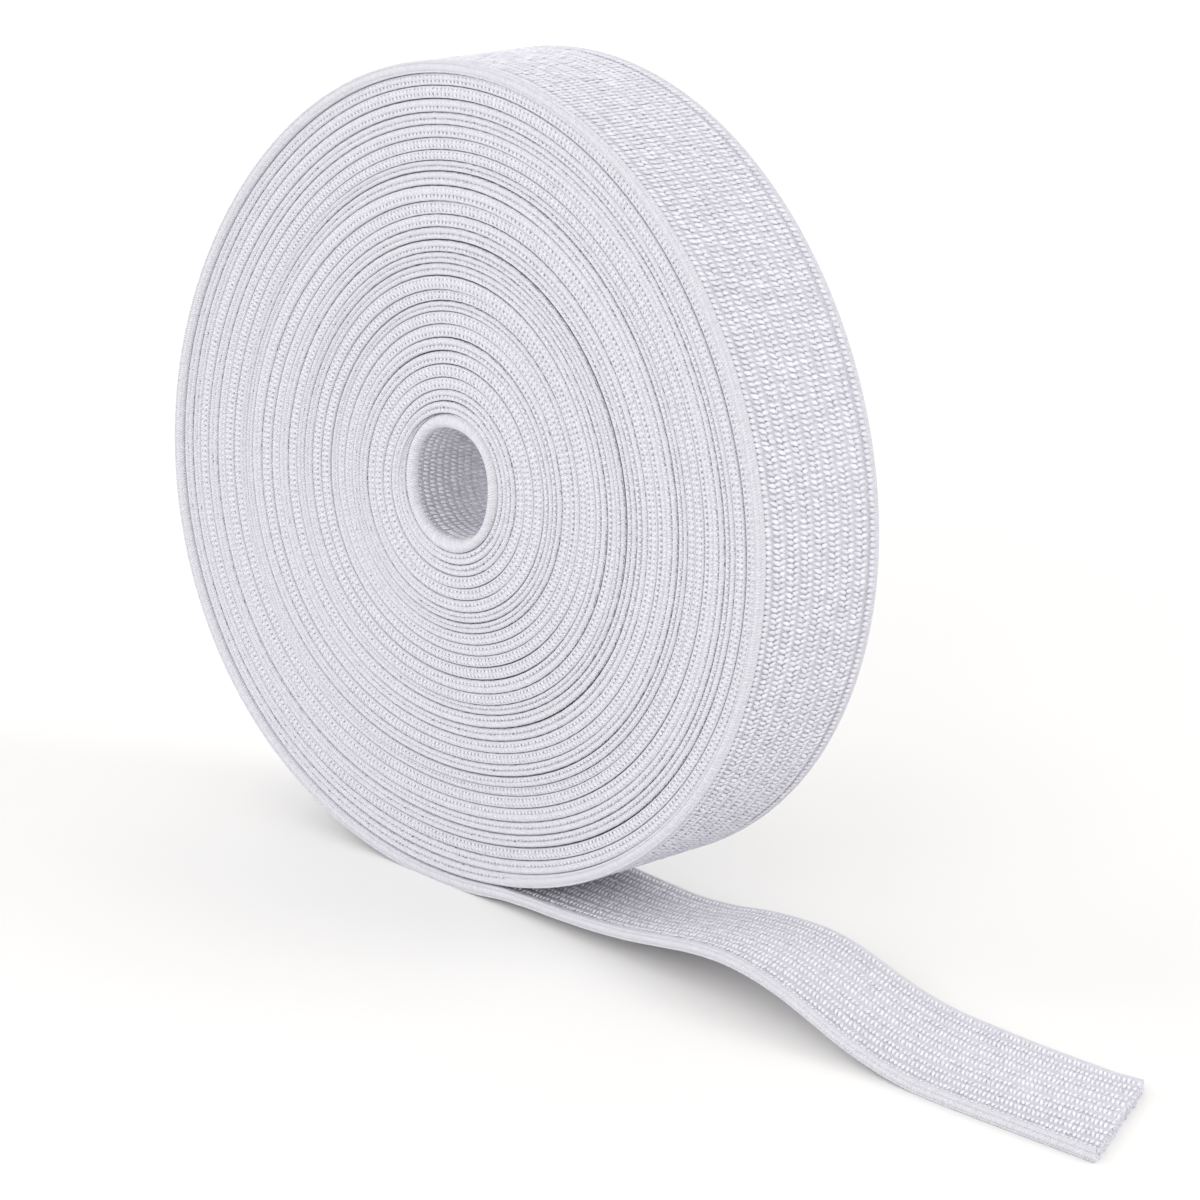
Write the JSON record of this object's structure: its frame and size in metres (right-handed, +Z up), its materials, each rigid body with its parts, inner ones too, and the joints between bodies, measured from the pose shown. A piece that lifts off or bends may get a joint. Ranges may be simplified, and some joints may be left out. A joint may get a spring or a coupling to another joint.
{
  "type": "roll of elastic",
  "caption": "Roll of white knitted flat elastic wound into a disc with a round hole, standing on its rim, with a ribbed loose end that arches and lies on the surface.",
  "frame": {"origin": "on the surface the roll stands on, at the middle of the small flat on its rim, under the roll's axis", "axes": "+Y along the roll's axis, away from the front face; +X the way the loose end runs out; +Z up"},
  "size_m": [0.1522, 0.0223, 0.0979],
  "materials": {
    "wound_elastic": "white knitted polyester over rubber threads, matte, smooth selvedges",
    "loose_elastic": "white knitted polyester over rubber threads, matte, ribbed lengthwise"
  },
  "bodies": {
    "root": {"roll": "wound_elastic", "loose_end": "loose_elastic"}
  },
  "joints": []
}
